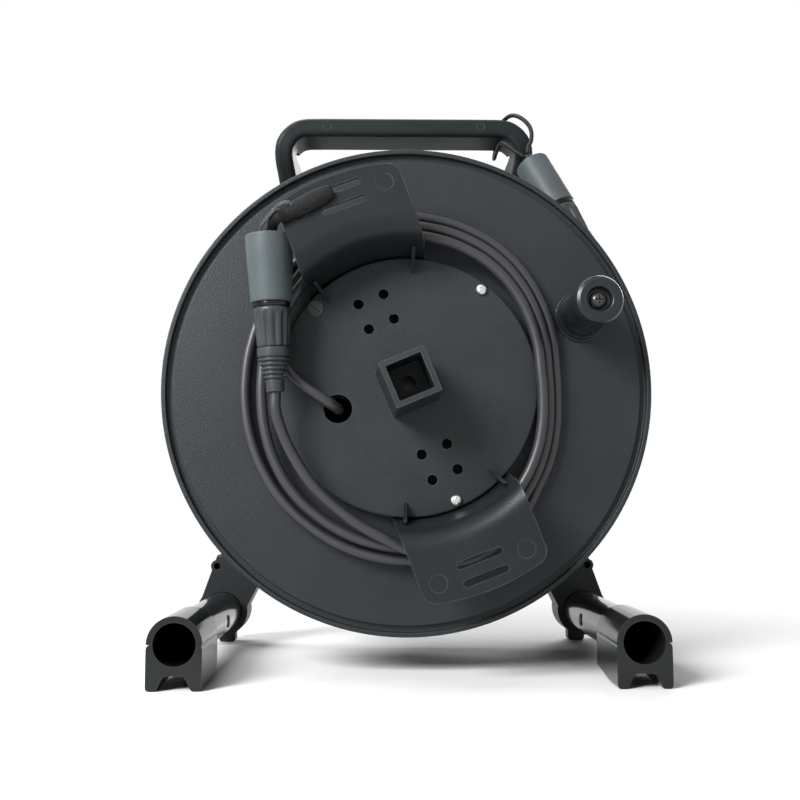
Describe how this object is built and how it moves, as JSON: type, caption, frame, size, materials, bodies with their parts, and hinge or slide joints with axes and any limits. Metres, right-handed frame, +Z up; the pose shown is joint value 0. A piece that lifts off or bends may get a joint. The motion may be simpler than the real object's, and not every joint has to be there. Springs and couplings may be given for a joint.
{
  "type": "network cable drum",
  "caption": "Data cable on a hand-wound plastic drum with a stand, carry handle, foot tubes, winding knob, cable holders and capped connectors.",
  "frame": {"origin": "on the ground, below the middle of the object without its loose cable and connectors", "axes": "+Z up, +Y along the axle from the winding side to the stand, +X to the right seen from the winding side"},
  "size_m": [0.31, 0.229, 0.3826],
  "materials": {
    "black_plastic": "fine-textured moulding",
    "black_gloss": "polished",
    "rubber": "smooth",
    "cable_jacket": "satin",
    "steel": "zinc plated",
    "nickel": "nickel plated",
    "white_bush": "natural"
  },
  "bodies": {
    "frame": {"stand": "black_plastic", "carry_handle": "black_plastic", "axle": "steel", "axle_washer": "steel", "axle_nut": "steel", "foot_tube_left": "black_gloss", "foot_tube_right": "black_gloss", "front_foot_left": "black_plastic", "front_foot_right": "black_plastic", "rear_foot_left": "black_plastic", "rear_foot_right": "black_plastic", "outer_boot": "rubber", "outer_bushing": "black_plastic", "outer_shell": "nickel", "outer_cap": "rubber", "cable_tail": "cable_jacket", "cap_tie": "rubber", "tie_knot": "rubber", "axle_clip": "steel", "handle_screw_1": "steel", "handle_screw_2": "steel", "handle_screw_3": "steel", "handle_screw_4": "steel"},
    "drum": {"front_flange": "black_plastic", "rear_flange": "black_plastic", "drum_core": "black_plastic", "hub_cover": "black_plastic", "slotted_plug": "black_plastic", "cable_holder_upper": "black_plastic", "cable_holder_lower": "black_plastic", "knob_washer": "black_plastic", "front_bushing": "black_plastic", "knob_bolt": "black_gloss", "front_boot": "rubber", "front_cap": "rubber", "front_cap_strap": "rubber", "cable_inner_layers": "cable_jacket", "cable_outer_layer": "cable_jacket", "cable_coil": "cable_jacket", "cable_lead_in": "cable_jacket", "cable_lead_out": "cable_jacket", "knob_nut": "steel", "hub_screw_1": "steel", "hub_screw_2": "steel", "hub_screw_3": "steel", "rear_screw_1": "steel", "rear_screw_2": "steel", "rear_screw_3": "steel", "front_shell": "nickel", "front_bush": "white_bush", "rear_bush": "white_bush"},
    "knob": {"winding_knob": "black_plastic"}
  },
  "joints": [
    {"name": "drum_spin", "type": "hinge", "parent": "frame", "child": "drum", "pos_m": [0, 0, 0.178], "axis": [0, 1, 0], "continuous": true},
    {"name": "knob_spin", "type": "hinge", "parent": "drum", "child": "knob", "pos_m": [0.11087, 0, 0.22392], "axis": [0, 1, 0], "continuous": true}
  ]
}
